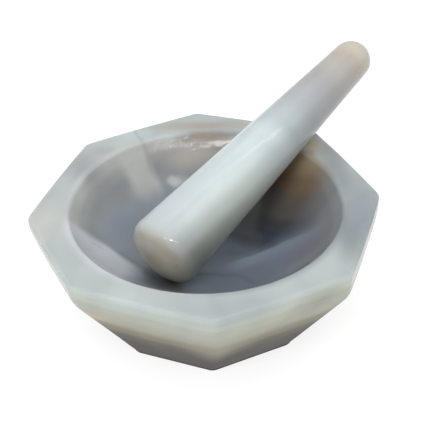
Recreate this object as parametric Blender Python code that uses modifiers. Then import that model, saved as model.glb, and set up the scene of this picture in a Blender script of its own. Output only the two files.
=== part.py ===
"""Laboratory agate mortar and pestle, in metres, +Z up.

The origin is the middle of the mortar's flat base. The mortar is a slab of stone ground flat on eight
sides, each side with an upright band under the rim and a long slope down to the base, and it holds a
round bowl. The pestle is a tapered rod that lies loose: its blunt end stands in the bowl and its side
leans on the bowl's edge.
"""

import math

import bmesh
import bpy
from mathutils import Euler, Vector

# Mortar
HEIGHT = 0.0356
BASE_APOTHEM = 0.0280
# Each ground side: the direction it faces in degrees, its distance from the middle, and the height
# of its upright band. The sides are ground by hand, so they are not quite even.
SIDES = (
    (20.6, 0.0466, 0.0055),
    (69.1, 0.0475, 0.0055),
    (115.0, 0.0467, 0.0055),
    (159.1, 0.0457, 0.0055),
    (203.7, 0.0465, 0.0055),
    (246.6, 0.0453, 0.0055),
    (292.2, 0.0454, 0.0065),
    (338.6, 0.0458, 0.0080),
)
EDGE_ROUND = 0.0006
EDGE_SEGMENTS = 3

# Bowl: part of a sphere, with a rounded lip where it meets the rim
BOWL_RADIUS = 0.0386
BOWL_DEPTH = 0.0200
LIP_RADIUS = 0.0016
LIP_CENTRE_DROP = 0.97 * LIP_RADIUS
LIP_SEGMENTS = 4
BOWL_STEPS = 80
BOWL_RINGS = 11

# Pestle
PESTLE_LENGTH = 0.1012
CROWN_RADIUS = 0.0172
SHOULDER_RADIUS = 0.0048
SHOULDER_OFFSET = 0.0060
TIP_RADIUS = 0.0062
PESTLE_STEPS = 48

# How the pestle lies: the direction its slim end points in, and its rise above level
LEAN_DIRECTION = math.radians(45.9)
LEAN_RISE = math.radians(15.2)
CONTACT_GAP = 0.0003

MERGE = 0.000001
CUTTER_RISE = 0.004
SMOOTH_ANGLE = math.radians(28)

# The sphere that the bowl is part of
BOWL_SPHERE = (BOWL_RADIUS**2 + BOWL_DEPTH**2) / (2 * BOWL_DEPTH)
BOWL_CENTRE = HEIGHT - BOWL_DEPTH + BOWL_SPHERE

# The lip's round touches the sphere from outside
LIP_HEIGHT = HEIGHT - LIP_CENTRE_DROP
LIP_REACH = math.sqrt((BOWL_SPHERE + LIP_RADIUS) ** 2 - (BOWL_CENTRE - LIP_HEIGHT) ** 2)

# The pestle's shoulder round touches its crown from inside
SHOULDER_HEIGHT = CROWN_RADIUS - math.sqrt((CROWN_RADIUS - SHOULDER_RADIUS) ** 2 - SHOULDER_OFFSET**2)
TIP_CENTRE = PESTLE_LENGTH - TIP_RADIUS


def clear_scene():
    for item in list(bpy.data.objects):
        bpy.data.objects.remove(item, do_unlink=True)


def new_collection(name):
    collection = bpy.data.collections.new(name)
    bpy.context.scene.collection.children.link(collection)
    return collection


def arc(centre, radius, start, end, count):
    """Points on a circle in the (radius, height) plane, from one angle to another, in radians."""
    turns = [start + (end - start) * i / count for i in range(count + 1)]
    return [(centre[0] + radius * math.cos(t), centre[1] + radius * math.sin(t)) for t in turns]


def turned(name, profile, steps, collection):
    """A solid of revolution about its own Z from a profile that runs top to bottom."""
    mesh = bpy.data.meshes.new(name)
    points = [(x, 0.0, z) for x, z in profile]
    mesh.from_pydata(points, [(i, i + 1) for i in range(len(points) - 1)], [])
    item = bpy.data.objects.new(name, mesh)
    collection.objects.link(item)
    screw = item.modifiers.new("turn", "SCREW")
    screw.axis = "Z"
    screw.angle = math.tau
    screw.steps = steps
    screw.render_steps = steps
    screw.use_merge_vertices = True
    screw.merge_threshold = MERGE
    screw.use_smooth_shade = True
    return item


def grind(solid, point, normal):
    """Takes away everything on the outer side of a plane and closes the flat that is left."""
    everything = solid.verts[:] + solid.edges[:] + solid.faces[:]
    cut = bmesh.ops.bisect_plane(
        solid, geom=everything, plane_co=point, plane_no=normal, clear_outer=True, dist=MERGE
    )
    rim = [part for part in cut["geom_cut"] if isinstance(part, bmesh.types.BMEdge)]
    bmesh.ops.contextual_create(solid, geom=rim)


def grind_side(solid, degrees, reach, band_height):
    """One side of the octagon: the upright band, then the slope from its foot to the base."""
    outward = Vector((math.cos(math.radians(degrees)), math.sin(math.radians(degrees)), 0))
    band_foot = outward * reach + Vector((0, 0, HEIGHT - band_height))
    grind(solid, band_foot, outward)
    overhang = reach - BASE_APOTHEM
    slope = outward * (HEIGHT - band_height) - Vector((0, 0, overhang))
    grind(solid, band_foot, slope.normalized())


def octagonal_block(name, collection):
    solid = bmesh.new()
    bmesh.ops.create_cube(solid, size=1.0)
    widest = 3 * max(reach for _, reach, _ in SIDES)
    bmesh.ops.scale(solid, vec=(widest, widest, HEIGHT), verts=solid.verts)
    bmesh.ops.translate(solid, vec=(0, 0, HEIGHT / 2), verts=solid.verts)
    for side in SIDES:
        grind_side(solid, *side)
    bmesh.ops.recalc_face_normals(solid, faces=solid.faces)
    mesh = bpy.data.meshes.new(name)
    solid.to_mesh(mesh)
    solid.free()
    block = bpy.data.objects.new(name, mesh)
    collection.objects.link(block)
    bevel = block.modifiers.new("rounded_edges", "BEVEL")
    bevel.limit_method = "NONE"
    bevel.width = EDGE_ROUND
    bevel.segments = EDGE_SEGMENTS
    return block


def bowl_cutter(collection):
    """The stone that is ground out: from above the rim, round the lip, then down the sphere."""
    lip = (LIP_REACH, LIP_HEIGHT)
    sphere = (0.0, BOWL_CENTRE)
    towards_sphere = math.atan2(BOWL_CENTRE - LIP_HEIGHT, -LIP_REACH)
    round_lip = arc(lip, LIP_RADIUS, math.pi / 2, towards_sphere, LIP_SEGMENTS)
    wall = arc(sphere, BOWL_SPHERE, towards_sphere - math.pi, -math.pi / 2, BOWL_RINGS)
    above = [(0.0, HEIGHT + CUTTER_RISE), (LIP_REACH, HEIGHT + CUTTER_RISE)]
    floor = [(0.0, HEIGHT - BOWL_DEPTH)]
    cutter = turned("bowl_cutter", above + round_lip + wall[1:-1] + floor, BOWL_STEPS, collection)
    cutter.hide_render = True
    cutter.display_type = "WIRE"
    return cutter


def make_mortar(collection, cutters):
    mortar = octagonal_block("mortar", collection)
    bowl = mortar.modifiers.new("bowl", "BOOLEAN")
    bowl.operation = "DIFFERENCE"
    bowl.solver = "EXACT"
    bowl.object = bowl_cutter(cutters)
    mortar.data.shade_smooth()
    mortar.data.set_sharp_from_angle(angle=SMOOTH_ANGLE)
    return mortar


def side_taper():
    """The angle between the pestle's side and its axis: the side touches the shoulder and tip rounds."""
    run = TIP_CENTRE - SHOULDER_HEIGHT
    towards_tip = math.atan2(SHOULDER_OFFSET, run)
    return towards_tip + math.asin((SHOULDER_RADIUS - TIP_RADIUS) / math.hypot(run, SHOULDER_OFFSET))


def pestle_profile():
    """From the slim end's top, down the tapered side, round the shoulder and over the blunt crown."""
    taper = side_taper()
    crown_edge = math.atan2(SHOULDER_HEIGHT - CROWN_RADIUS, SHOULDER_OFFSET)
    tip = arc((0.0, TIP_CENTRE), TIP_RADIUS, math.pi / 2, taper, 8)
    shoulder = arc((SHOULDER_OFFSET, SHOULDER_HEIGHT), SHOULDER_RADIUS, taper, crown_edge, 8)
    crown = arc((0.0, CROWN_RADIUS), CROWN_RADIUS, crown_edge, -math.pi / 2, 5)
    return [(0.0, PESTLE_LENGTH)] + tip[1:] + shoulder + crown[1:-1] + [(0.0, 0.0)]


def resting_point():
    """Where the middle of the pestle's blunt end is, in the upright plane of its lean: (reach, height).

    The side line lies on the lip with a gap and the shoulder round stands in the bowl with a gap. Both
    contacts are in this plane, because the pestle is rounder than the bowl and the rim.
    """
    along = Vector((math.cos(LEAN_RISE), math.sin(LEAN_RISE)))
    under = Vector((math.sin(LEAN_RISE), -math.cos(LEAN_RISE)))
    taper = side_taper()
    side_normal = math.cos(taper) * under + math.sin(taper) * along
    side_line = math.cos(taper) * along - math.sin(taper) * under
    lip = Vector((LIP_REACH, LIP_HEIGHT))
    sphere = Vector((0.0, BOWL_CENTRE))
    # The shoulder's centre is on a line beside the pestle's side and on a circle inside the bowl.
    start = lip - (SHOULDER_RADIUS + LIP_RADIUS + CONTACT_GAP) * side_normal
    swing = BOWL_SPHERE - CONTACT_GAP - SHOULDER_RADIUS
    across = (start - sphere).dot(side_line)
    slide = -across - math.sqrt(across**2 - (start - sphere).length_squared + swing**2)
    shoulder = start + slide * side_line
    return shoulder - SHOULDER_HEIGHT * along - SHOULDER_OFFSET * under


def make_pestle(collection):
    pestle = turned("pestle", pestle_profile(), PESTLE_STEPS, collection)
    reach, height = resting_point()
    pestle.location = (reach * math.cos(LEAN_DIRECTION), reach * math.sin(LEAN_DIRECTION), height)
    pestle.rotation_euler = Euler((0, math.pi / 2 - LEAN_RISE, LEAN_DIRECTION))
    return pestle


def stone(name, colour, roughness):
    """Polished stone: no metal, a hard gloss."""
    material = bpy.data.materials.new(name)
    material.use_nodes = True
    shader = material.node_tree.nodes["Principled BSDF"]
    shader.inputs["Base Color"].default_value = (*colour, 1.0)
    shader.inputs["Roughness"].default_value = roughness
    shader.inputs["Metallic"].default_value = 0.0
    material.diffuse_color = (*colour, 1.0)
    return material


def main():
    clear_scene()
    parts = new_collection("mortar_and_pestle")
    cutters = new_collection("cutters")
    mortar = make_mortar(parts, cutters)
    pestle = make_pestle(parts)
    mortar.data.materials.append(stone("mortar_agate", (0.42, 0.43, 0.42), 0.18))
    pestle.data.materials.append(stone("pestle_agate", (0.60, 0.65, 0.65), 0.15))


main()
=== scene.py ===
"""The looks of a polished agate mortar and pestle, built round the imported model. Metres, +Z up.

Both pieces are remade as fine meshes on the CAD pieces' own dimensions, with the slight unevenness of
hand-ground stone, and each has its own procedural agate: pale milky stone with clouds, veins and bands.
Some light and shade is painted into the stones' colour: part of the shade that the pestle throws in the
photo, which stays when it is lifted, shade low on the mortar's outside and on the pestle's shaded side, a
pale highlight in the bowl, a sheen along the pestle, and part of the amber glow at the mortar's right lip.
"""

import math

import bpy
import numpy as np
from mathutils import Euler, Matrix, Vector, noise


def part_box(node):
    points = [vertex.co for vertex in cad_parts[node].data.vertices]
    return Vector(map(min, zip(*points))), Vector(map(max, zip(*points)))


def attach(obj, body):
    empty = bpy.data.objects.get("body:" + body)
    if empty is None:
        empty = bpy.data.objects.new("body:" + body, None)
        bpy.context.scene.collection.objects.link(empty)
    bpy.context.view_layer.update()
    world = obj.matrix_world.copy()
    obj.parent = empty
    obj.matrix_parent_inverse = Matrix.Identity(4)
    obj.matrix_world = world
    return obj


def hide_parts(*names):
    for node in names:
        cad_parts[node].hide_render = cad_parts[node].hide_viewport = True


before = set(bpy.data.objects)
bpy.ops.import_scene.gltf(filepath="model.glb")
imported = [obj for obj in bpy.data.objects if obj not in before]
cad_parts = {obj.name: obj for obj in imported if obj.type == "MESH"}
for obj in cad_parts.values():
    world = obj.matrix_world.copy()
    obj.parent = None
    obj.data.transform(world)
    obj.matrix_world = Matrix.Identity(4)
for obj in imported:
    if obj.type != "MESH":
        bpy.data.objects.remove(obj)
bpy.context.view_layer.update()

MM = 0.001

# ---- Mortar: lengths in millimetres ----------------------------------------------------------------
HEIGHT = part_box("mortar")[1].z / MM
BASE_APOTHEM = 28.0
# Each ground side: the direction it faces in degrees, its distance from the middle, its band's height.
# The directions and distances are a camera fit's results, rounded, or within 0.2 of them.
SIDES = (
    (20.6, 46.6, 5.5),
    (69.1, 47.5, 5.5),
    (115.0, 46.7, 5.5),
    (159.1, 45.7, 5.5),
    (203.7, 46.5, 5.5),
    (246.6, 45.3, 5.5),
    (292.2, 45.4, 6.5),
    (338.6, 45.8, 8.0),
)
SIDE_CROWN = 0.4
HALF_SIDE_ANGLE = math.radians(22.5)
LEAST_FACING = 0.2
SHOULDER_BLEND = 2.2
ARRIS_BLEND = 1.0
RIM_ROUND = 1.1
BASE_ROUND = 0.8
BOWL_RADIUS = 38.6
BOWL_DEPTH = 20.0
LIP_RADIUS = 1.6
BOWL_SPHERE = (BOWL_RADIUS**2 + BOWL_DEPTH**2) / (2 * BOWL_DEPTH)
BOWL_CENTRE = HEIGHT - BOWL_DEPTH + BOWL_SPHERE
TOLERANCE = 0.01

# Points round each ring of the mortar's mesh, and rings in each stretch of it
AROUND = 720
BASE_RINGS = 7
BASE_ROUND_RINGS = 4
SIDE_RINGS = 55
RIM_ROUND_RINGS = 12
RIM_RINGS = 14
LIP_RINGS = 8
BOWL_RINGS = 102

# ---- Pestle: lengths in millimetres ----------------------------------------------------------------
CROWN_RADIUS = 17.2
SHOULDER_RADIUS = 4.8
SHOULDER_OFFSET = 6.0
TIP_RADIUS = 6.2
RING_DEPTH = 0.009
RING_COUNT = 7

# Points round each ring of the pestle's mesh, and rings in each stretch of it
PESTLE_AROUND = 160
CROWN_RINGS = 16
SHOULDER_RINGS = 84
SHAFT_RINGS = 90
TIP_RINGS = 24

# ---- Hand-ground unevenness: lengths and depths in millimetres ---------------------------------------
FACET_WAVE = 0.05
FACET_WAVE_LENGTH = 16.0
FACET_SEED = 1.3
BOWL_WAVE = 0.035
BOWL_WAVE_LENGTH = 9.0
BOWL_SEED = 4.7
LAP_DEPTH = 0.010
LAP_PITCH = 1.7
LAP_LENGTH = 3.1
LAP_WANDER = 5
LAP_FADE = 6
PESTLE_WAVE = 0.04
PESTLE_WAVE_LENGTH = 14.0
PESTLE_SEED = 7.9
CHATTER_LENGTH = 0.6
CHATTER_STRETCH = 0.8
CHATTER_DEPTH = 0.06

# ---- Polish: below the usual specular level of 0.5, so that the pale floor shows less in the stone ---
MORTAR_GLOSS = 0.2
PESTLE_GLOSS = 0.3

# ---- Stage: places in metres, angles in degrees, the lens in millimetres -----------------------------
FLOOR_SIZE = 6.0
FLOOR_DROP = 0.0001
CAMERA_PLACE = (-0.0058, -0.2228, 0.1940)
CAMERA_AZIMUTH = -2.64
CAMERA_ELEVATION = 36.52
CAMERA_ROLL = -1.23
CAMERA_LENS = 78.8


def srgb(red, green, blue):
    """A colour given as 0 to 255 display values, as the linear colour that shaders use."""
    display = [channel / 255 for channel in (red, green, blue)]
    linear = [c / 12.92 if c <= 0.04045 else ((c + 0.055) / 1.055) ** 2.4 for c in display]
    return (*linear, 1.0)


# ---- Meshes ------------------------------------------------------------------------------------------


def soft_min(a, b, blend):
    """The smaller of two arrays, with a rounded change-over where they are within blend of each other."""
    near = np.maximum(blend - np.abs(a - b), 0) / blend
    return np.minimum(a, b) - near**2 * blend / 4


def side_reach(reach, band_height, z):
    """How far one side's face is from the middle at height z: slope below, upright band above."""
    slope = BASE_APOTHEM + (reach - BASE_APOTHEM) * z / (HEIGHT - band_height)
    return soft_min(np.full_like(slope, reach), slope, SHOULDER_BLEND)


def outline(turn, z):
    """Radius of the outside at the given angles and heights: eight flats that meet in eased arrises.

    Each flat is crowned a little, as hand grinding leaves it.
    """
    radii = []
    for degrees, reach, band_height in SIDES:
        lean = np.maximum(np.cos(turn - math.radians(degrees)), LEAST_FACING)
        across = np.tan(np.arccos(lean)) / math.tan(HALF_SIDE_ANGLE)
        crown = SIDE_CROWN * np.maximum(1 - across**2, 0)
        radii.append((side_reach(reach, band_height, z) + crown * z / HEIGHT) / lean)
    nearest = np.sort(np.stack(radii), axis=0)
    return soft_min(nearest[0], nearest[1], ARRIS_BLEND)


def steps(start, end, count):
    """Evenly spaced values, from just after the start up to the end."""
    return np.linspace(start, end, count + 1)[1:]


def all_round(value):
    """The same value at every point of a ring of the mortar."""
    return np.full(AROUND, value)


def mortar_rings():
    """The mortar's surface as rings from the middle of the base, round the outside, into the bowl."""
    turn = np.linspace(0, math.tau, AROUND, endpoint=False)
    base = outline(turn, all_round(BASE_ROUND))
    rim = outline(turn, all_round(HEIGHT - RIM_ROUND))
    rings = []
    for share in np.linspace(0.12, 1.0, BASE_RINGS):
        rings.append(((base - BASE_ROUND) * share, np.zeros(AROUND)))
    for a in steps(0, math.pi / 2, BASE_ROUND_RINGS):
        rings.append((base - BASE_ROUND * (1 - math.sin(a)), all_round(BASE_ROUND * (1 - math.cos(a)))))
    for z in steps(BASE_ROUND, HEIGHT - RIM_ROUND, SIDE_RINGS):
        rings.append((outline(turn, all_round(z)), all_round(z)))
    for a in steps(0, math.pi / 2, RIM_ROUND_RINGS):
        z = HEIGHT - RIM_ROUND * (1 - math.sin(a))
        rings.append((rim - RIM_ROUND * (1 - math.cos(a)), all_round(z)))
    lip_height = HEIGHT - LIP_RADIUS
    lip_reach = math.sqrt((BOWL_SPHERE + LIP_RADIUS) ** 2 - (BOWL_CENTRE - lip_height) ** 2)
    for share in steps(0, 1, RIM_RINGS):
        rings.append(((rim - RIM_ROUND) * (1 - share) + lip_reach * share, all_round(HEIGHT)))
    steep = math.atan2(lip_reach, BOWL_CENTRE - lip_height)
    for a in steps(0, steep, LIP_RINGS):
        drop = LIP_RADIUS * (1 - math.cos(a))
        rings.append((all_round(lip_reach - LIP_RADIUS * math.sin(a)), all_round(HEIGHT - drop)))
    for a in steps(steep, 0, BOWL_RINGS + 1)[:-1]:
        z = BOWL_CENTRE - BOWL_SPHERE * math.cos(a)
        rings.append((all_round(BOWL_SPHERE * math.sin(a)), all_round(z)))
    return turn, rings


def closed_mesh(name, points, around, start, end):
    """A closed mesh from rings of points, with one point at the first end and one at the last."""
    rings = len(points) // around
    verts = [tuple(p) for p in (start, *points, end)]
    last = len(verts) - 1
    faces = []
    for i in range(around):
        j = (i + 1) % around
        faces.append((0, 1 + j, 1 + i))
        faces.append((last, 1 + (rings - 1) * around + i, 1 + (rings - 1) * around + j))
        for ring in range(rings - 1):
            low = 1 + ring * around
            faces.append((low + i, low + j, low + around + j, low + around + i))
    mesh = bpy.data.meshes.new(name)
    mesh.from_pydata([Vector(v) * MM for v in verts], [], faces)
    mesh.validate()
    mesh.shade_smooth()
    item = bpy.data.objects.new(name, mesh)
    bpy.context.scene.collection.objects.link(item)
    return item


def wave(point, length, seed):
    """Smooth unevenness between about -1 and 1, with features of the given length in millimetres."""
    where = Vector(point) / length + Vector((seed, 2.3 * seed, -1.7 * seed))
    return noise.noise(where) + 0.4 * noise.noise(where * 2.1)


def ground_by_hand(points, normals, amount, length, seed):
    """Moves points along their normals by a little smooth unevenness."""
    shift = np.array([amount * wave(p, length, seed) for p in points])
    return points + normals * shift[:, None]


def make_mortar():
    turn, rings = mortar_rings()
    radius = np.stack([r for r, _ in rings])
    height = np.stack([z for _, z in rings])
    points = np.stack([radius * np.cos(turn), radius * np.sin(turn), height], axis=-1).reshape(-1, 3)
    from_sphere = points - np.array([0.0, 0.0, BOWL_CENTRE])
    distance = np.linalg.norm(from_sphere, axis=1)
    in_bowl = distance < BOWL_SPHERE + TOLERANCE
    on_base = points[:, 2] < BASE_ROUND
    upright = (points[:, 2] < HEIGHT - TOLERANCE) & ~in_bowl
    outward = points * np.array([1.0, 1.0, 0.0])
    outward /= np.maximum(np.linalg.norm(outward, axis=1), 1e-6)[:, None]
    normals = np.where(upright[:, None], outward, np.array([0.0, 0.0, 1.0]))
    normals = np.where(in_bowl[:, None], -from_sphere / distance[:, None], normals)
    waved = ground_by_hand(points, normals, FACET_WAVE, FACET_WAVE_LENGTH, FACET_SEED)
    bowl = ground_by_hand(points, normals, BOWL_WAVE, BOWL_WAVE_LENGTH, BOWL_SEED)
    across = np.hypot(points[:, 0], points[:, 1])
    lap = np.array([noise.noise(Vector(p) / LAP_LENGTH) for p in points])
    ripple = LAP_DEPTH * np.sin(across * math.tau / LAP_PITCH + LAP_WANDER * lap) * lap
    fade = np.clip(across / LAP_FADE, 0, 1)
    bowl = bowl + normals * (ripple * fade)[:, None]
    shaped = np.where(in_bowl[:, None], bowl, waved)
    shaped = np.where(on_base[:, None], points, shaped)
    floor = (0.0, 0.0, HEIGHT - BOWL_DEPTH)
    return closed_mesh("agate_mortar", shaped, AROUND, (0.0, 0.0, 0.0), floor)


def pestle_place():
    """The pestle's axis in the frame: the middle of its blunt end, three directions and its length.

    The third direction runs from the blunt end to the slim end. Places are in millimetres.
    """
    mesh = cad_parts["pestle"].data
    points = np.array([v.co for v in mesh.vertices]) / MM
    middle = points.mean(0)
    along = np.linalg.svd(points - middle, full_matrices=False)[2][0]
    run = (points - middle) @ along
    spread = np.linalg.norm(points - middle - np.outer(run, along), axis=1)
    if spread[run > 0].max() > spread[run < 0].max():
        along = -along
        run = -run
    start = middle + along * run.min()
    level = np.cross((0.0, 0.0, 1.0), along)
    level /= np.linalg.norm(level)
    upper = np.cross(along, level)
    return start, (level, upper, along), run.max() - run.min()


def arc(centre, radius, start, end, count):
    """Points on a circle in the (radius, height) plane, from one angle to another."""
    turns = np.linspace(start, end, count + 1)
    return [(centre[0] + radius * math.cos(t), centre[1] + radius * math.sin(t)) for t in turns]


def ringed_arc(centre, radius, start, end, count):
    """An arc with shallow turning rings, which fade out towards both of its ends."""
    points = []
    for share in np.linspace(0, 1, count + 1):
        turn = start + (end - start) * share
        ring = RING_DEPTH * math.sin(math.pi * share) ** 2 * math.sin(math.tau * RING_COUNT * share)
        reach = radius + ring
        points.append((centre[0] + reach * math.cos(turn), centre[1] + reach * math.sin(turn)))
    return points


def pestle_profile(length):
    """From the blunt end's crown, round the shoulder, up the tapered side, over the slim end."""
    shoulder_height = CROWN_RADIUS - math.sqrt((CROWN_RADIUS - SHOULDER_RADIUS) ** 2 - SHOULDER_OFFSET**2)
    run = length - TIP_RADIUS - shoulder_height
    taper = math.atan2(SHOULDER_OFFSET, run)
    taper += math.asin((SHOULDER_RADIUS - TIP_RADIUS) / math.hypot(run, SHOULDER_OFFSET))
    edge = math.atan2(shoulder_height - CROWN_RADIUS, SHOULDER_OFFSET)
    crown = arc((0, CROWN_RADIUS), CROWN_RADIUS, -math.pi / 2, edge, CROWN_RINGS)
    shoulder_middle = (SHOULDER_OFFSET, shoulder_height)
    shoulder = ringed_arc(shoulder_middle, SHOULDER_RADIUS, edge, taper, SHOULDER_RINGS)
    tip = arc((0, length - TIP_RADIUS), TIP_RADIUS, taper, math.pi / 2, TIP_RINGS)
    low = shoulder[-1]
    high = tip[0]
    shares = np.linspace(0, 1, SHAFT_RINGS)
    side = [(low[0] + (high[0] - low[0]) * t, low[1] + (high[1] - low[1]) * t) for t in shares]
    return crown[1:] + shoulder[1:-1] + side + tip[1:-1]


def make_pestle(place):
    start, directions, length = place
    profile = np.array(pestle_profile(length))
    turn = np.linspace(0, math.tau, PESTLE_AROUND, endpoint=False)
    radius = profile[:, :1]
    along = np.repeat(profile[:, 1:], PESTLE_AROUND, axis=1)
    points = np.stack([radius * np.cos(turn), radius * np.sin(turn), along], axis=-1).reshape(-1, 3)
    normals = points * np.array([1.0, 1.0, 0.0])
    normals /= np.maximum(np.linalg.norm(normals, axis=1), 1e-6)[:, None]
    shaped = ground_by_hand(points, normals, PESTLE_WAVE, PESTLE_WAVE_LENGTH, PESTLE_SEED)
    to_frame = np.array(directions)
    ends = [start, start + length * to_frame[2]]
    return closed_mesh("agate_pestle", start + shaped @ to_frame, PESTLE_AROUND, *ends)


# ---- Shader helpers ----------------------------------------------------------------------------------


def feed(tree, socket, value):
    """Joins a socket to another, or sets it to a constant."""
    if isinstance(value, bpy.types.NodeSocket):
        tree.links.new(value, socket)
    else:
        socket.default_value = value


def maths(tree, operation, a, b=0.0, clamp=False):
    node = tree.nodes.new("ShaderNodeMath")
    node.operation = operation
    node.use_clamp = clamp
    feed(tree, node.inputs[0], a)
    feed(tree, node.inputs[1], b)
    return node.outputs[0]


def product(tree, first, *others):
    """Several values multiplied together."""
    for other in others:
        first = maths(tree, "MULTIPLY", first, other)
    return first


def vectors(tree, operation, a, b):
    node = tree.nodes.new("ShaderNodeVectorMath")
    node.operation = operation
    feed(tree, node.inputs[0], a)
    feed(tree, node.inputs[1], b)
    return node.outputs["Value" if operation in ("LENGTH", "DISTANCE", "DOT_PRODUCT") else "Vector"]


def millimetres(tree):
    """The piece's own coordinates, in millimetres."""
    where = tree.nodes.new("ShaderNodeTexCoord").outputs["Object"]
    return vectors(tree, "MULTIPLY", where, (1 / MM, 1 / MM, 1 / MM))


def clouds(tree, where, length, detail=2.0, roughness=0.5, colour=False):
    """Smooth noise with features of the given length in millimetres."""
    node = tree.nodes.new("ShaderNodeTexNoise")
    feed(tree, node.inputs["Vector"], where)
    node.inputs["Scale"].default_value = 1 / length
    node.inputs["Detail"].default_value = detail
    node.inputs["Roughness"].default_value = roughness
    return node.outputs["Color" if colour else "Fac"]


def warped(tree, where, length, amount):
    """Coordinates pushed about by noise, up to about amount millimetres each way."""
    push = vectors(tree, "SUBTRACT", clouds(tree, where, length, colour=True), (0.5, 0.5, 0.5))
    push = vectors(tree, "MULTIPLY", push, (2 * amount, 2 * amount, 2 * amount))
    return vectors(tree, "ADD", where, push)


def smooth_step(tree, value, low, high):
    """0 at low, 1 at high, eased between; low may be the larger."""
    node = tree.nodes.new("ShaderNodeMapRange")
    node.interpolation_type = "SMOOTHSTEP"
    feed(tree, node.inputs["Value"], value)
    node.inputs["From Min"].default_value = min(low, high)
    node.inputs["From Max"].default_value = max(low, high)
    node.inputs["To Min"].default_value = 0.0 if low < high else 1.0
    node.inputs["To Max"].default_value = 1.0 if low < high else 0.0
    return node.outputs["Result"]


def blend(tree, share, first, second, mode="MIX"):
    node = tree.nodes.new("ShaderNodeMix")
    node.data_type = "RGBA"
    node.blend_type = mode
    feed(tree, node.inputs["Factor"], share)
    feed(tree, node.inputs[6], first)
    feed(tree, node.inputs[7], second)
    return node.outputs[2]


def ramp(tree, value, stops):
    """A colour that runs through the stops, each (position, colour)."""
    node = tree.nodes.new("ShaderNodeValToRGB")
    node.color_ramp.interpolation = "EASE"
    elements = node.color_ramp.elements
    while len(elements) < len(stops):
        elements.new(0.5)
    for element, (position, colour) in zip(elements, stops):
        element.position = position
        element.color = colour
    feed(tree, node.inputs["Fac"], value)
    return node.outputs["Color"]


def height_ramp(tree, z, span, layers):
    """A ramp over a span of heights in millimetres, through layers of (height, display colour)."""
    low, high = span
    share = maths(tree, "DIVIDE", maths(tree, "SUBTRACT", z, low), high - low, clamp=True)
    return ramp(tree, share, [((height - low) / (high - low), srgb(*tint)) for height, tint in layers])


def patch(tree, where, centre, reach, soft):
    """1 inside an ellipsoid round centre, fading to 0 at its surface over the given share of its size."""
    offset = vectors(tree, "SUBTRACT", where, centre)
    scaled = vectors(tree, "DIVIDE", offset, reach)
    return smooth_step(tree, vectors(tree, "LENGTH", scaled, (0, 0, 0)), 1.0, 1.0 - soft)


def lay_tint(tree, colour, share, strength, tint):
    """Lays a display colour over a colour, by a share that varies and a strength that doesn't."""
    return blend(tree, maths(tree, "MULTIPLY", share, strength), colour, srgb(*tint))


def lay_patches(tree, where, colour, patches):
    """Lays patches over a colour, each (centre, reach, softness, strength, display colour)."""
    for centre, reach, soft, strength, tint in patches:
        colour = lay_tint(tree, colour, patch(tree, where, centre, reach, soft), strength, tint)
    return colour


def arc_line(tree, where, centre, radius, width):
    """1 on an upright cylinder's surface, fading to 0 at the given distance from it."""
    flat = vectors(tree, "MULTIPLY", vectors(tree, "SUBTRACT", where, centre), (1, 1, 0))
    off = maths(tree, "SUBTRACT", vectors(tree, "LENGTH", flat, (0, 0, 0)), radius)
    return smooth_step(tree, maths(tree, "ABSOLUTE", off), width, 0.0)


def within(tree, where, direction, low, high):
    """0 to 1 along a direction, from one distance in millimetres to another."""
    return smooth_step(tree, vectors(tree, "DOT_PRODUCT", where, direction), low, high)


def separate(tree, where):
    node = tree.nodes.new("ShaderNodeSeparateXYZ")
    feed(tree, node.inputs[0], where)
    return node.outputs[0], node.outputs[1], node.outputs[2]


def polished_stone(name, gloss):
    """A new agate material: its tree and its shader, hard and glossy with light going a little way in."""
    material = bpy.data.materials.new(name)
    material.use_nodes = True
    tree = material.node_tree
    shader = tree.nodes["Principled BSDF"]
    shader.inputs["IOR"].default_value = 1.54
    shader.inputs["Specular IOR Level"].default_value = gloss
    shader.inputs["Subsurface Weight"].default_value = 0.35
    shader.inputs["Subsurface Radius"].default_value = (1.0, 0.95, 0.85)
    shader.inputs["Subsurface Scale"].default_value = 0.0025
    return material, tree, shader


def bump(tree, height, depth, under=None):
    """A bump of the given depth in millimetres, on top of another one."""
    node = tree.nodes.new("ShaderNodeBump")
    node.inputs["Strength"].default_value = 1.0
    node.inputs["Distance"].default_value = depth * MM
    feed(tree, node.inputs["Height"], height)
    if under:
        tree.links.new(under, node.inputs["Normal"])
    return node.outputs["Normal"]


def lapping(tree, where, length, depth):
    """The fine marks that lapping leaves under the polish."""
    return bump(tree, clouds(tree, where, length, detail=4.0, roughness=0.6), depth)


def chatter(tree, where, under):
    """The short upright marks that the grinding tool leaves high on the bowl's far left wall."""
    x, _, z = separate(tree, where)
    outward = vectors(tree, "NORMALIZE", vectors(tree, "MULTIPLY", where, (1, 1, 0)), (0, 0, 0))
    around = vectors(tree, "MULTIPLY", outward, (BOWL_RADIUS, BOWL_RADIUS, 0))
    upright = vectors(tree, "MULTIPLY", where, (0, 0, CHATTER_STRETCH))
    marks = product(
        tree,
        clouds(tree, vectors(tree, "ADD", around, upright), CHATTER_LENGTH, detail=0.0),
        smooth_step(tree, z, 24.0, 31.0),
        smooth_step(tree, z, 35.55, 35.2),
        smooth_step(tree, x, -23.0, -16.0),
        smooth_step(tree, x, 6.0, -2.0),
    )
    return bump(tree, marks, CHATTER_DEPTH, under)


# ---- Agate -------------------------------------------------------------------------------------------

# What the colour layers run through, in millimetres: heights in the mortar, lengths in the smoky streak
# and in the pestle
OUTSIDE_SPAN = (0.0, 36.0)
BOWL_SPAN = (15.0, 36.0)
STREAK_SPAN = (0.0, 44.0)
PESTLE_SPAN = (0.0, 102.0)

# Level directions along the pestle and across it, which the smoky streak follows
ALONG_PESTLE = (0.696, 0.718, 0)
ACROSS_PESTLE = (0.718, -0.696, 0)
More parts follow.
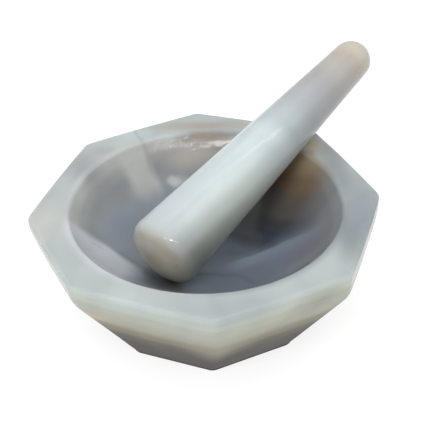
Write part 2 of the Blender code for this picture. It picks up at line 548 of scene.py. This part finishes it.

# Clouds in the mortar's colour, mostly the stone's own, some painted light or shade as marked below: centre
# and reach in millimetres, softness, strength, display colour.
# They were placed and coloured after measuring the photo. The three darkest in the bowl stand in
# for the shade in front of the pestle.
RIM_CLOUDS_AND_PAINTED_GLOW = (
    ((43, -7, 35), (16, 34, 8), 1.0, 0.95, (134, 142, 146)),
    ((38, 24, 35), (7, 10, 6), 1.0, 0.8, (142, 147, 146)),
    ((7, -45, 35), (19, 9, 5), 1.0, 0.8, (149, 156, 158)),
    ((-22, -40, 35), (14, 9, 5), 1.0, 0.7, (170, 180, 178)),
    ((-45, -5, 34), (12, 18, 8), 1.0, 0.8, (176, 177, 172)),
    ((-36, 23, 35), (11, 14, 7), 1.0, 0.8, (151, 153, 155)),
    ((-29, 30, 35.5), (6, 5, 4), 1.0, 0.7, (147, 149, 150)),
    ((-22, 40, 34), (10, 8, 8), 1.0, 0.8, (169, 180, 182)),
    ((1, 42, 35), (24, 5, 6), 1.0, 0.9, (150, 143, 133)),
    ((37, -16, 35.5), (8, 20, 5), 1.0, 0.7, (122, 129, 133)),
    ((38, 12, 35.5), (7, 16, 5), 1.0, 0.7, (124, 128, 130)),
    ((-35.5, 17, 35.5), (6, 15, 5), 1.0, 0.7, (141, 143, 144)),
    # Partly a painted glow: the pale amber at the right lip stands partly for light through the thin stone.
    ((33, 29, 35), (5, 8, 6), 1.0, 0.7, (182, 160, 122)),
    ((31.5, 24, 35.5), (3, 4, 4), 1.0, 0.6, (138, 118, 88)),
    ((44, -18, 31), (6, 15, 5), 1.0, 0.8, (188, 189, 189)),
    ((29, -40, 30), (12, 9, 8), 1.0, 0.8, (140, 140, 128)),
    ((0, -42, 17), (15, 20, 12), 1.0, 0.45, (142, 140, 124)),
    ((-30, -33, 25), (5, 5, 4), 1.0, 0.5, (190, 170, 140)),
)
BOWL_CLOUDS_AND_PAINTED_LIGHT = (
    ((-27, 18, 29), (9, 9, 8), 1.0, 0.6, (124, 126, 127)),
    ((-19, 22, 26), (6, 6, 6), 1.0, 0.7, (150, 151, 150)),
    ((-24, 8, 23), (8, 10, 8), 1.0, 0.5, (116, 126, 137)),
    ((-2, 34, 29), (17, 8, 8), 1.0, 0.95, (162, 158, 151)),
    ((3, 37, 34), (14, 4, 4), 1.0, 0.9, (132, 121, 108)),
    ((-12, 28, 26), (3, 4, 5), 1.0, 0.8, (132, 132, 131)),
    # Painted shade: the next three dark clouds, in front of the pestle's blunt end.
    ((-12, -17, 21), (12, 8, 6), 1.0, 0.9, (80, 78, 72)),
    ((-11, -14, 19.5), (7, 5, 4), 1.0, 0.8, (62, 60, 54)),
    ((-16, -10.5, 19.5), (5, 5, 4), 1.0, 0.7, (72, 70, 64)),
    ((-33, 19, 34), (6, 14, 4), 1.0, 0.8, (138, 139, 139)),
    ((37, -14, 35), (5, 18, 4), 1.0, 0.8, (120, 126, 130)),
    ((36, 12, 35), (5, 14, 4), 1.0, 0.8, (120, 124, 125)),
    # Painted highlight: a pale spot left of the pestle, for light reflected from the wall.
    ((-6, 27, 24.5), (4, 5, 4), 1.0, 0.8, (158, 158, 155)),
    ((25, -19, 26), (14, 8, 9), 1.0, 0.8, (124, 129, 135)),
)


def outside_colour(tree, where):
    """Layers by height: bluish rim, beige under it, dark olive towards the base, which is partly the
    stone's colour and partly painted shade under the downward-facing slopes.
    """
    _, _, z = separate(tree, where)
    wander = vectors(tree, "SUBTRACT", warped(tree, where, 30.0, 2.5), where)
    loose = vectors(tree, "ADD", where, vectors(tree, "MULTIPLY", wander, (1, 1, 0)))
    _, _, rise = separate(tree, wander)
    rise = maths(tree, "MULTIPLY", rise, smooth_step(tree, z, 35.0, 27.0))
    # The darkest layers, near the base, are partly painted shade where the slopes face down to the floor.
    layers = (
        (0.0, (22, 17, 10)),
        (5.0, (26, 21, 12)),
        (9.0, (36, 31, 18)),
        (13.0, (62, 58, 38)),
        (18.0, (109, 105, 83)),
        (24.0, (149, 147, 131)),
        (30.0, (162, 165, 153)),
        (33.0, (173, 179, 171)),
        (34.7, (175, 182, 178)),
        (35.7, (162, 169, 168)),
    )
    colour = height_ramp(tree, maths(tree, "ADD", z, rise), OUTSIDE_SPAN, layers)
    return lay_patches(tree, loose, colour, RIM_CLOUDS_AND_PAINTED_GLOW)


def bowl_colour(tree, where):
    """The ground-out inside: blue-grey on the left, smoky slate on the right, paler up to the lip, with
    painted shade in front of and beside the pestle and a painted highlight left of it.
    """
    loose = warped(tree, where, 12.0, 1.6)
    _, _, z = separate(tree, loose)
    left_layers = (
        (15.0, (118, 127, 136)),
        (20.0, (124, 131, 138)),
        (24.0, (125, 133, 140)),
        (28.5, (129, 132, 135)),
        (31.0, (143, 144, 143)),
        (33.4, (163, 163, 159)),
        (36.0, (171, 175, 173)),
    )
    right_layers = (
        (15.0, (98, 108, 119)),
        (20.0, (101, 110, 122)),
        (26.0, (105, 108, 116)),
        (31.0, (114, 115, 118)),
        (34.5, (127, 130, 131)),
        (36.0, (142, 149, 151)),
    )
    left = height_ramp(tree, z, BOWL_SPAN, left_layers)
    right = height_ramp(tree, z, BOWL_SPAN, right_layers)
    colour = blend(tree, within(tree, loose, (1, 0, 0), -14.0, 8.0), left, right)
    colour = lay_patches(tree, loose, colour, BOWL_CLOUDS_AND_PAINTED_LIGHT)
    colour = smoke_and_painted_light(tree, loose, colour)
    colour = pale_shapes(tree, loose, colour)
    return wisps(tree, loose, colour)


def smoke_and_painted_light(tree, loose, colour):
    """A smoky streak on the right: slate at its low end, brown and then amber up at the rim; the amber is
    partly the stone's colour and partly a painted glow of light through the thin stone.

    Its near-black stretch and the dark strip beside it stand in for the pestle's shade in the photo.
    """
    along = vectors(tree, "DOT_PRODUCT", loose, ALONG_PESTLE)
    across = vectors(tree, "DOT_PRODUCT", loose, ACROSS_PESTLE)
    turned = tree.nodes.new("ShaderNodeCombineXYZ")
    feed(tree, turned.inputs[0], along)
    feed(tree, turned.inputs[1], across)
    # Painted shade: the near-black stops at 12.5 and 16 mm stand for the pestle's shade. The amber stops at
    # 37 and 42 mm are partly a painted glow of light through the thin stone.
    layers = (
        (4.0, (80, 92, 104)),
        (8.0, (60, 73, 85)),
        (12.5, (22, 27, 40)),
        (16.0, (42, 49, 60)),
        (20.0, (60, 60, 61)),
        (24.0, (82, 79, 76)),
        (28.0, (92, 84, 76)),
        (32.0, (110, 92, 72)),
        (37.0, (148, 130, 100)),
        (42.0, (170, 156, 132)),
    )
    tint = height_ramp(tree, along, STREAK_SPAN, layers)
    share = patch(tree, turned.outputs[0], (24, 3, 0), (25, 22, 1), 0.6)
    colour = blend(tree, maths(tree, "MULTIPLY", share, 0.96), colour, tint)
    # Painted shade: a dark strip right along the pestle's line, where its shadow falls.
    beside = product(
        tree,
        within(tree, turned.outputs[0], (0, 1, 0), 7.5, 0.0),
        share,
        within(tree, turned.outputs[0], (1, 0, 0), 13.0, 19.0),
    )
    return lay_tint(tree, colour, beside, 0.55, (22, 20, 20))


def pale_shapes(tree, loose, colour):
    """A pale wedge in the far left of the bowl, and a pale field with a dark edge in its front left."""
    across = (0.75, 0.66, 0)
    wedge = product(
        tree,
        within(tree, loose, across, -2.6, 1.0),
        within(tree, loose, across, 9.2, 6.2),
        within(tree, loose, (0, 0.6, 0.8), 29.0, 38.0),
        within(tree, loose, (1, 0, 0), -11.0, -13.5),
    )
    colour = lay_tint(tree, colour, wedge, 0.75, (171, 172, 168))
    far = (0.56, 0.83, 0)
    off = maths(tree, "ABSOLUTE", maths(tree, "ADD", vectors(tree, "DOT_PRODUCT", loose, far), 17.0))
    edge = product(
        tree,
        smooth_step(tree, off, 1.6, 0.0),
        within(tree, loose, (1, 0, 0), -27.0, -22.0),
        within(tree, loose, (1, 0, 0), -12.0, -17.0),
    )
    colour = lay_tint(tree, colour, edge, 0.2, (98, 102, 108))
    field = product(
        tree,
        within(tree, loose, far, -17.0, -20.4),
        within(tree, loose, (1, -0.2, 0), -15.2, -21.5),
        within(tree, loose, (0, 1, 0), -1.5, -6.0),
    )
    return lay_tint(tree, colour, field, 0.95, (178, 182, 187))


def wisps(tree, loose, colour):
    """Across the floor of the bowl: a light wisp with a sharp far edge, and a dark curl in front of it."""
    middle = vectors(tree, "MULTIPLY", vectors(tree, "SUBTRACT", loose, (20, -61, 0)), (1, 1, 0))
    off = maths(tree, "SUBTRACT", vectors(tree, "LENGTH", middle, (0, 0, 0)), 60.0)
    wisp = product(
        tree,
        smooth_step(tree, off, 0.6, -0.7),
        smooth_step(tree, off, -8.0, -1.0),
        within(tree, loose, (1, 0, 0), 3.0, 9.0),
        within(tree, loose, (1, 0, 0), 44.0, 14.0),
    )
    colour = lay_tint(tree, colour, wisp, 0.75, (112, 126, 139))
    curl = product(
        tree,
        arc_line(tree, loose, (-1, -20, 0), 12.6, 1.6),
        within(tree, loose, (0, 1, 0), -3.0, -8.0),
        within(tree, loose, (0, 1, 0), -23.0, -16.0),
    )
    return lay_tint(tree, colour, curl, 0.4, (80, 91, 104))


def veins(tree, where, colour):
    """A thin dark vein over the rim and down the far left wall, and a faint dark inclusion on the left."""
    loose = warped(tree, where, 9.0, 1.0)
    off = maths(tree, "ADD", vectors(tree, "DOT_PRODUCT", loose, (0.932, 0.361, 0)), 4.4)
    vein = product(
        tree,
        smooth_step(tree, maths(tree, "ABSOLUTE", off), 1.2, 0.0),
        within(tree, loose, (0, 1, 0), 25.0, 30.0),
        within(tree, loose, (0, 0, 1), 22.0, 28.0),
    )
    colour = lay_tint(tree, colour, vein, 0.22, (118, 121, 116))
    inclusion = patch(tree, where, (-30.5, -6.5, 27.5), (3.4, 0.6, 4.0), 0.9)
    return lay_tint(tree, colour, inclusion, 0.25, (100, 100, 102))


def banding(tree, where, colour, share):
    """Faint curved bands, as growth layers show in cut agate."""
    node = tree.nodes.new("ShaderNodeTexWave")
    node.wave_type = "RINGS"
    node.rings_direction = "SPHERICAL"
    offset = vectors(tree, "SUBTRACT", warped(tree, where, 24.0, 7.0), (60.0, -35.0, 10.0))
    feed(tree, node.inputs["Vector"], offset)
    node.inputs["Scale"].default_value = 0.035
    node.inputs["Distortion"].default_value = 3.0
    node.inputs["Detail"].default_value = 3.0
    node.inputs["Detail Scale"].default_value = 0.5
    stops = [(0.0, (0.84, 0.84, 0.86, 1)), (0.55, (1, 1, 1, 1)), (1.0, (1.04, 1.04, 1.03, 1))]
    return blend(tree, share, colour, ramp(tree, node.outputs["Fac"], stops), "MULTIPLY")


def mottled(tree, where, colour, length, dark, light):
    """Uneven milkiness: a colour multiplied by soft noise between two tones."""
    tone = ramp(tree, clouds(tree, where, length, detail=3.0), [(0.3, (*dark, 1)), (0.7, (*light, 1))])
    return blend(tree, 1.0, colour, tone, "MULTIPLY")


def mortar_agate():
    material, tree, shader = polished_stone("mortar_agate_looks", MORTAR_GLOSS)
    where = millimetres(tree)
    from_sphere = vectors(tree, "DISTANCE", where, (0.0, 0.0, BOWL_CENTRE))
    inside = smooth_step(tree, from_sphere, BOWL_SPHERE + 2.2, BOWL_SPHERE - 0.1)
    colour = blend(tree, inside, outside_colour(tree, where), bowl_colour(tree, where))
    colour = veins(tree, where, colour)
    colour = mottled(tree, where, colour, 17.0, (0.96, 0.96, 0.97), (1.03, 1.03, 1.025))
    colour = banding(tree, where, colour, 0.18)
    tree.links.new(colour, shader.inputs["Base Color"])
    _, _, z = separate(tree, where)
    outside = maths(tree, "SUBTRACT", 1.0, inside)
    duller = maths(tree, "MULTIPLY", smooth_step(tree, z, 34.0, 26.0), outside)
    worn = maths(tree, "MULTIPLY", clouds(tree, where, 9.0, detail=3.0), 0.10)
    worn = maths(tree, "ADD", worn, maths(tree, "MULTIPLY", outside, 0.08))
    worn = maths(tree, "ADD", worn, maths(tree, "MULTIPLY", duller, 0.25))
    edge = product(
        tree,
        smooth_step(tree, z, 35.58, 35.3),
        smooth_step(tree, z, 33.6, 34.8),
        maths(tree, "SUBTRACT", outside, duller),
    )
    worn = maths(tree, "ADD", worn, maths(tree, "MULTIPLY", edge, 0.35))
    tree.links.new(maths(tree, "ADD", worn, 0.04), shader.inputs["Roughness"])
    marks = chatter(tree, where, lapping(tree, where, 0.7, 0.012))
    tree.links.new(marks, shader.inputs["Normal"])
    return material


def pestle_agate(place):
    """The stone runs in layers along the pestle: beige crown, milky blue-grey shaft, tan slim end.

    The darkening of the side that is away from the light in the photo is in the colour too.
    """
    material, tree, shader = polished_stone("pestle_agate_looks", PESTLE_GLOSS)
    start, directions, _ = place
    offset = vectors(tree, "SUBTRACT", millimetres(tree), tuple(start))
    turned = tree.nodes.new("ShaderNodeCombineXYZ")
    for socket, direction in zip(turned.inputs, directions):
        feed(tree, socket, vectors(tree, "DOT_PRODUCT", offset, tuple(direction)))
    where = turned.outputs[0]
    level, _, _ = separate(tree, where)
    _, _, along = separate(tree, warped(tree, where, 16.0, 3.0))
    layers = (
        (0.0, (160, 156, 144)),
        (1.8, (160, 158, 148)),
        (3.2, (168, 170, 164)),
        (4.8, (170, 176, 176)),
        (9.0, (173, 181, 183)),
        (15.0, (179, 188, 190)),
        (25.0, (182, 192, 193)),
        (42.0, (184, 194, 195)),
        (50.0, (178, 188, 190)),
        (57.0, (165, 174, 176)),
        (69.0, (156, 160, 163)),
        (78.0, (156, 156, 156)),
        (85.0, (161, 159, 153)),
        (90.0, (167, 160, 150)),
        (95.0, (178, 173, 161)),
        (102.0, (186, 178, 164)),
    )
    colour = height_ramp(tree, along, PESTLE_SPAN, layers)
    dark = patch(tree, where, (1.0, 3.0, 0.0), (7.0, 5.0, 3.0), 1.0)
    colour = lay_tint(tree, colour, dark, 0.6, (128, 124, 112))
    tan = patch(tree, where, (-3.0, 2.5, 0.5), (4.5, 4.0, 3.0), 1.0)
    colour = lay_tint(tree, colour, tan, 0.35, (150, 131, 108))
    # Painted sheen: a lighter band on the right side of the shaft's middle, for the reflection of the light
    # above.
    streak = product(
        tree,
        smooth_step(tree, level, -2.5, -5.5),
        smooth_step(tree, along, 48.0, 30.0),
        smooth_step(tree, along, 5.0, 13.0),
    )
    colour = blend(tree, streak, colour, (1.12, 1.12, 1.08, 1), "MULTIPLY")
    # Painted shade: the shaft darkens on its right side, and more underneath, where it is away from the
    # light.
    shaft = smooth_step(tree, along, -8.0, 9.0)
    under = maths(tree, "MULTIPLY", smooth_step(tree, level, -4.0, -10.5), shaft)
    colour = blend(tree, under, colour, (0.62, 0.60, 0.56, 1), "MULTIPLY")
    rear = maths(tree, "MULTIPLY", smooth_step(tree, level, -8.5, -11.0), shaft)
    colour = blend(tree, rear, colour, (0.60, 0.60, 0.60, 1), "MULTIPLY")
    streaks = clouds(tree, vectors(tree, "MULTIPLY", where, (1, 1, 0.07)), 5.0, detail=2.0)
    tone = ramp(tree, streaks, [(0.3, (0.97, 0.97, 0.975, 1)), (0.7, (1.025, 1.025, 1.02, 1))])
    colour = blend(tree, 1.0, colour, tone, "MULTIPLY")
    colour = mottled(tree, where, colour, 15.0, (0.97, 0.97, 0.98), (1.02, 1.02, 1.02))
    colour = banding(tree, where, colour, 0.10)
    tree.links.new(colour, shader.inputs["Base Color"])
    worn = clouds(tree, where, 8.0, detail=3.0)
    worn = maths(tree, "ADD", maths(tree, "MULTIPLY", worn, 0.05), 0.03)
    tree.links.new(worn, shader.inputs["Roughness"])
    tree.links.new(lapping(tree, where, 0.8, 0.004), shader.inputs["Normal"])
    return material


# ---- Stage -------------------------------------------------------------------------------------------


def make_floor():
    """A plain pale floor that gives off light of its own, to be as white as the photo's background."""
    bpy.ops.mesh.primitive_plane_add(size=FLOOR_SIZE, location=(0, 0, -FLOOR_DROP))
    floor = bpy.context.object
    floor.name = "studio_floor"
    material = bpy.data.materials.new("studio_floor")
    material.use_nodes = True
    shader = material.node_tree.nodes["Principled BSDF"]
    shader.inputs["Base Color"].default_value = (0.30, 0.30, 0.30, 1)
    shader.inputs["Roughness"].default_value = 0.9
    shader.inputs["Specular IOR Level"].default_value = 0.0
    shader.inputs["Emission Color"].default_value = (1, 1, 1, 1)
    shader.inputs["Emission Strength"].default_value = 0.76
    floor.data.materials.append(material)


def area_light(name, place, target, width, depth, watts):
    data = bpy.data.lights.new(name, "AREA")
    data.shape = "RECTANGLE"
    data.size = width
    data.size_y = depth
    data.energy = watts
    light = bpy.data.objects.new(name, data)
    bpy.context.scene.collection.objects.link(light)
    light.location = place
    light.rotation_euler = (Vector(target) - Vector(place)).to_track_quat("-Z", "Y").to_euler()
    return light


def make_world():
    world = bpy.data.worlds.new("studio")
    bpy.context.scene.world = world
    world.use_nodes = True
    tree = world.node_tree
    background = tree.nodes["Background"]
    _, _, up = separate(tree, tree.nodes.new("ShaderNodeTexCoord").outputs["Generated"])
    stops = [(0.0, (0.78, 0.79, 0.80, 1)), (0.6, (0.96, 0.96, 0.97, 1)), (1.0, (1.0, 1.0, 1.0, 1))]
    tree.links.new(ramp(tree, up, stops), background.inputs["Color"])
    background.inputs["Strength"].default_value = 0.9


def make_lights():
    """A broad overhead panel, a tube over the back, two strips in front, a small panel on the right."""
    area_light("overhead", (-0.35, 0.25, 1.3), (0, 0, 0.03), 1.6, 1.6, 4.6)
    tube = area_light("tube", (0.18, 0.15, 0.65), (0, 0, 0.04), 0.60, 0.006, 0.09)
    tube.rotation_euler = Euler((0, 0, math.radians(-27)))
    area_light("front_strip", (0.17, -0.42, 0.52), (0.17, 0.03, 0.03), 0.50, 0.010, 0.9)
    area_light("left_strip", (-0.27, -0.42, 0.52), (-0.27, 0.03, 0.03), 0.34, 0.010, 1.35)
    area_light("right_panel", (0.23, -0.14, 0.66), (0, 0.02, 0.03), 0.09, 0.09, 0.3)


def make_camera():
    """Close in front and above, turned a little to the left, with a slight roll."""
    data = bpy.data.cameras.new("camera")
    data.lens = CAMERA_LENS
    data.sensor_width = 36.0
    data.clip_start = 0.01
    camera = bpy.data.objects.new("camera", data)
    bpy.context.scene.collection.objects.link(camera)
    azimuth = math.radians(CAMERA_AZIMUTH)
    elevation = math.radians(CAMERA_ELEVATION)
    flat = math.cos(elevation)
    back = Vector((math.sin(azimuth) * flat, -math.cos(azimuth) * flat, math.sin(elevation)))
    right = Vector((math.cos(azimuth), math.sin(azimuth), 0))
    up = back.cross(right)
    level = Matrix((right, up, back)).transposed()
    turned = level @ Matrix.Rotation(math.radians(CAMERA_ROLL), 3, "Z")
    camera.matrix_world = Matrix.Translation(CAMERA_PLACE) @ turned.to_4x4()
    bpy.context.scene.camera = camera


def main():
    mortar = make_mortar()
    mortar.data.materials.append(mortar_agate())
    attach(mortar, "mortar")
    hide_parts("mortar")

    place = pestle_place()
    pestle = make_pestle(place)
    pestle.data.materials.append(pestle_agate(place))
    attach(pestle, "pestle")
    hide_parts("pestle")

    make_floor()
    make_world()
    make_lights()
    make_camera()
    bpy.context.scene.view_settings.view_transform = "Standard"


main()
